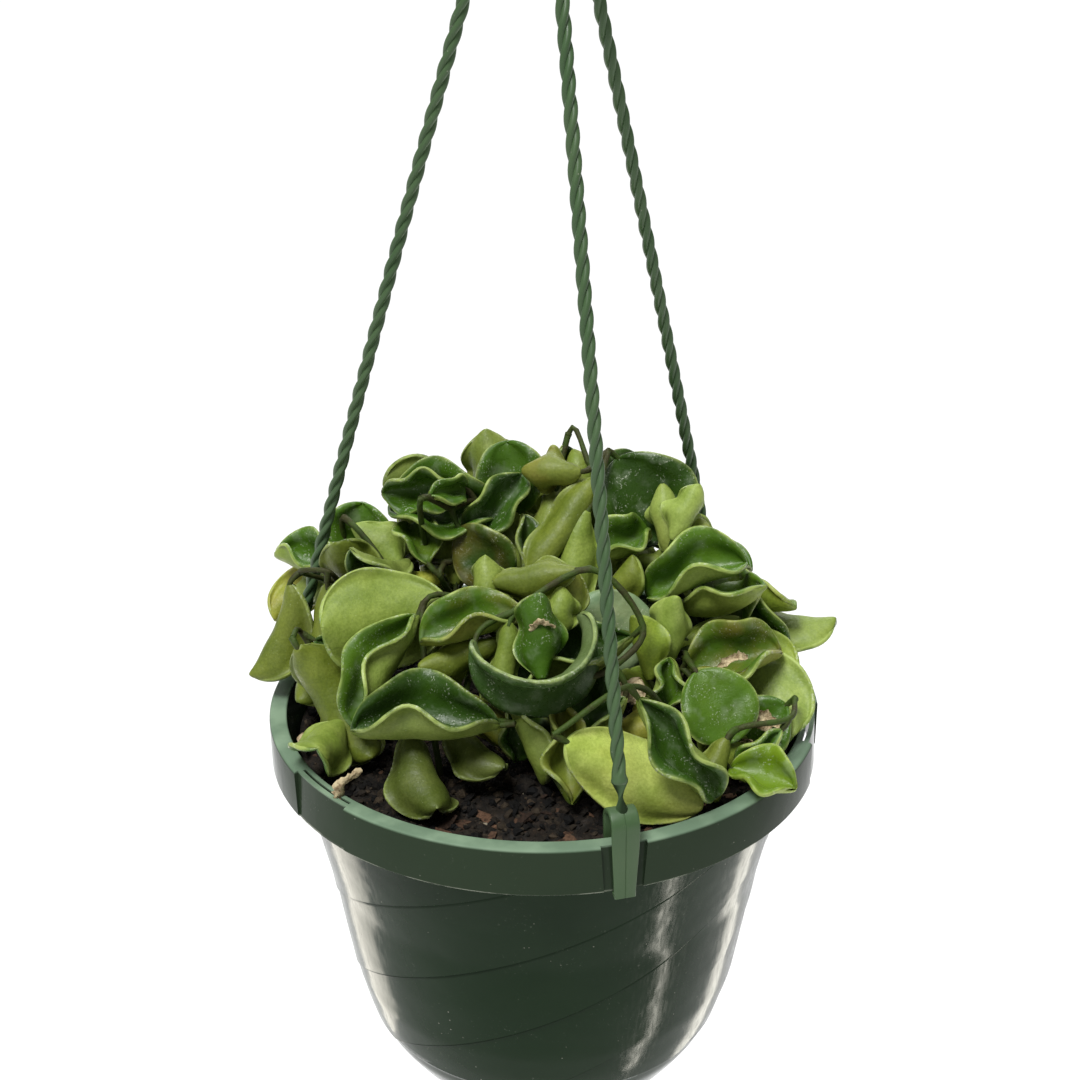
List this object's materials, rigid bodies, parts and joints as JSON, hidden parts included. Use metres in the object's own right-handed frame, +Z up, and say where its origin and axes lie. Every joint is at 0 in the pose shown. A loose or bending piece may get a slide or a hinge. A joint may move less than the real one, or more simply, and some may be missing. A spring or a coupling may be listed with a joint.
{
  "type": "hanging pot with hindu rope plant",
  "caption": "Compact wax plant with thick, folded and curled leaves in a round hanging pot, on a three-strand twisted hanger with a ceiling hook.",
  "frame": {"origin": "middle of the pot's flat underside", "axes": "+Z up along the pot's axis to the hook, -Y towards the front strand, which is turned 15 degrees towards +X"},
  "size_m": [0.1785, 0.1724, 0.4143],
  "materials": {
    "pot_green": "glossy moulded plastic",
    "strand_green": "satin moulded plastic",
    "soil_brown": "damp crumbly potting mix",
    "leaf_green": "waxy leaf, glossy above and matt below"
  },
  "bodies": {
    "root": {"pot": "pot_green", "soil": "soil_brown", "strand_front": "strand_green", "strand_right": "strand_green", "strand_left": "strand_green", "hook": "strand_green", "vine_left": "leaf_green", "vine_crown_left": "leaf_green", "vine_crown_right": "leaf_green", "vine_right": "leaf_green", "vine_centre": "leaf_green", "vine_front_left": "leaf_green", "vine_rim_left": "leaf_green", "vine_disc": "leaf_green", "vine_front_right": "leaf_green", "vine_over_rim": "leaf_green", "vine_rim_right": "leaf_green", "vine_back_right": "leaf_green", "vine_back": "leaf_green", "vine_back_middle": "leaf_green", "vine_back_left": "leaf_green"}
  },
  "joints": []
}
